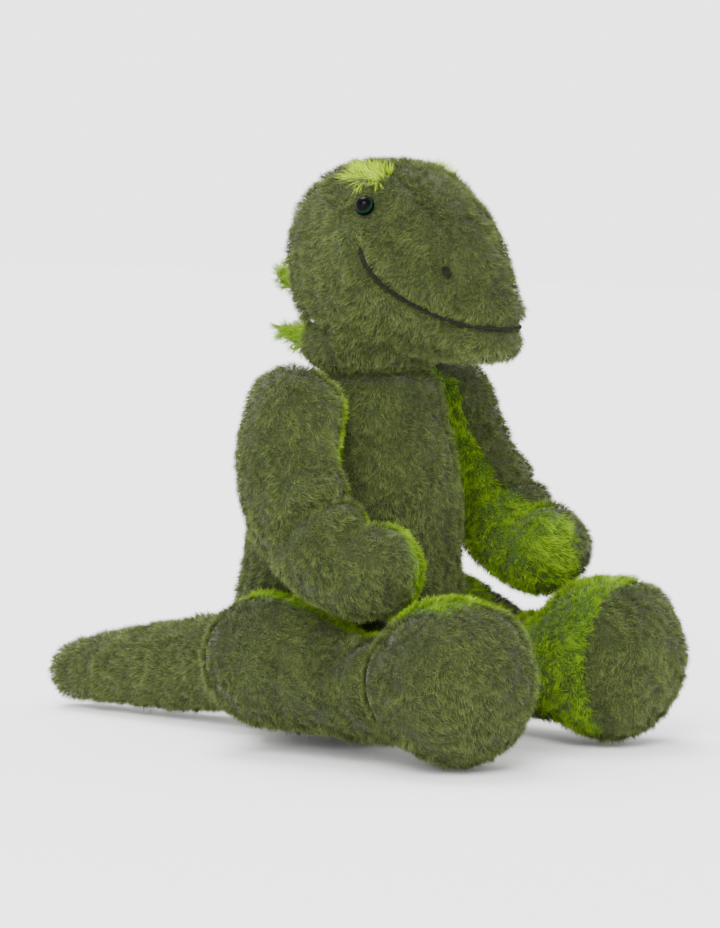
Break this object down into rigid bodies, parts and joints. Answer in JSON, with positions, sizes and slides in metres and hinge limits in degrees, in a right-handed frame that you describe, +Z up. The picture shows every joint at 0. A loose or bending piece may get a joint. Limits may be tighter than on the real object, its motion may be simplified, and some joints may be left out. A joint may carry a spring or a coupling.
{
  "type": "stuffed dinosaur",
  "caption": "Sitting plush dinosaur of olive and lime fur with a big snouted head, bent arms, outstretched legs and a thick tail, each limb sewn on so that it can be posed.",
  "frame": {"origin": "on the floor, under the middle of the toy's bounding box", "axes": "+Z up; the toy faces -Y, with its tail towards +Y; its own right side is -X"},
  "size_m": [0.23, 0.4005, 0.3294],
  "materials": {
    "olive_fur": "long soft faux fur, olive green with darker roots and paler tips",
    "lime_fur": "long soft faux fur, lime green with darker roots",
    "stuffing": "lofty polyester fibre",
    "bean_pouch": "plain woven cotton bag filled with plastic beans",
    "eye": "polished, black pupil in a very dark green iris",
    "washer": "moulded, matt",
    "thread": "dark embroidery thread"
  },
  "bodies": {
    "torso": {"torso_front_panel": "olive_fur", "torso_back_panel": "olive_fur", "torso_stuffing": "stuffing", "seat_bean_pouch": "bean_pouch", "back_spike_1": "lime_fur", "back_spike_2": "lime_fur", "back_spike_3": "lime_fur"},
    "neck": {"neck_panel": "olive_fur", "neck_stuffing": "stuffing", "neck_spike": "lime_fur"},
    "head": {"head_right_panel": "olive_fur", "head_middle_gusset": "olive_fur", "head_left_panel": "olive_fur", "head_stuffing": "stuffing", "brow_tuft_right": "lime_fur", "eye_right": "eye", "eye_washer_right": "washer", "nostril_right": "thread", "brow_tuft_left": "lime_fur", "eye_left": "eye", "eye_washer_left": "washer", "nostril_left": "thread", "mouth_thread": "thread", "head_spike": "lime_fur"},
    "tail": {"tail_right_panel": "olive_fur", "tail_left_panel": "olive_fur", "tail_stuffing": "stuffing"},
    "arm_right": {"arm_right_outer_panel": "olive_fur", "arm_right_inner_panel": "lime_fur", "arm_right_stuffing": "stuffing"},
    "leg_right": {"leg_right_outer_panel": "olive_fur", "leg_right_inner_panel": "lime_fur", "leg_right_stuffing": "stuffing", "leg_right_bean_pouch": "bean_pouch"},
    "arm_left": {"arm_left_outer_panel": "olive_fur", "arm_left_inner_panel": "lime_fur", "arm_left_stuffing": "stuffing"},
    "leg_left": {"leg_left_outer_panel": "olive_fur", "leg_left_inner_panel": "lime_fur", "leg_left_stuffing": "stuffing", "leg_left_bean_pouch": "bean_pouch"}
  },
  "joints": [
    {"name": "head_turn", "type": "hinge", "parent": "torso", "child": "neck", "pos_m": [0, -0.04149, 0.211], "axis": [0, 0, 1], "range_deg": [-35, 35]},
    {"name": "head_nod", "type": "hinge", "parent": "neck", "child": "head", "pos_m": [0, -0.04149, 0.226], "axis": [-1, 0, 0], "range_deg": [-8, 8]},
    {"name": "arm_right_lift", "type": "hinge", "parent": "torso", "child": "arm_right", "pos_m": [-0.066, -0.04149, 0.188], "axis": [-0.9272, 0.3746, 0], "range_deg": [0, 55]},
    {"name": "arm_left_lift", "type": "hinge", "parent": "torso", "child": "arm_left", "pos_m": [0.066, -0.04149, 0.188], "axis": [-0.9272, -0.3746, 0], "range_deg": [0, 55]},
    {"name": "leg_right_splay", "type": "hinge", "parent": "torso", "child": "leg_right", "pos_m": [-0.074, -0.02949, 0.052], "axis": [0, 0, -1], "range_deg": [-4, 24]},
    {"name": "leg_left_splay", "type": "hinge", "parent": "torso", "child": "leg_left", "pos_m": [0.074, -0.02949, 0.052], "axis": [0, 0, 1], "range_deg": [-4, 24]},
    {"name": "tail_swing", "type": "hinge", "parent": "torso", "child": "tail", "pos_m": [0, 0.03351, 0.037], "axis": [0, 0, 1], "range_deg": [-24, 24]}
  ]
}
